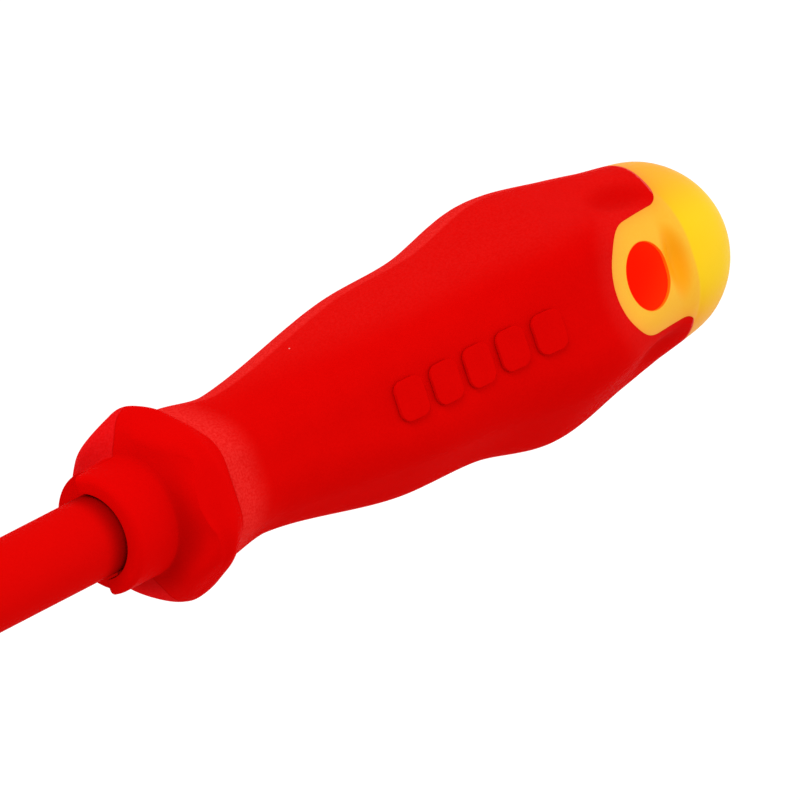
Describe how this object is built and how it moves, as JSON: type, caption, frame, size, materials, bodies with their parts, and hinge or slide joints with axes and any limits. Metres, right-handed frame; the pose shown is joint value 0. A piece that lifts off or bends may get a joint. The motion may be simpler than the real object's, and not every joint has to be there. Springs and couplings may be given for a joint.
{
  "type": "insulated screwdriver",
  "caption": "Insulated slotted screwdriver with a red insulated blade, a soft red grip behind a hexagonal guard, and a yellow domed cap with a hang hole.",
  "frame": {"origin": "middle of the end face of the blade's slotted tip, on the blade's axis", "axes": "+X back along the blade to the handle's rear, +Y in the plane of the mould's parting line and along the tip's width, +Z along the hang hole"},
  "size_m": [0.2607, 0.0308, 0.0286],
  "materials": {
    "blade_steel": "bright ground steel, fine marks across the tip",
    "sleeve_red": "satin red insulating plastic",
    "core_red": "smooth hard red plastic",
    "grip_red": "frosted soft red grip",
    "cap_yellow": "smooth yellow-orange plastic"
  },
  "bodies": {
    "root": {"blade": "blade_steel", "blade_insulation": "sleeve_red", "handle_core": "core_red", "soft_grip": "grip_red", "end_cap": "cap_yellow"}
  },
  "joints": []
}
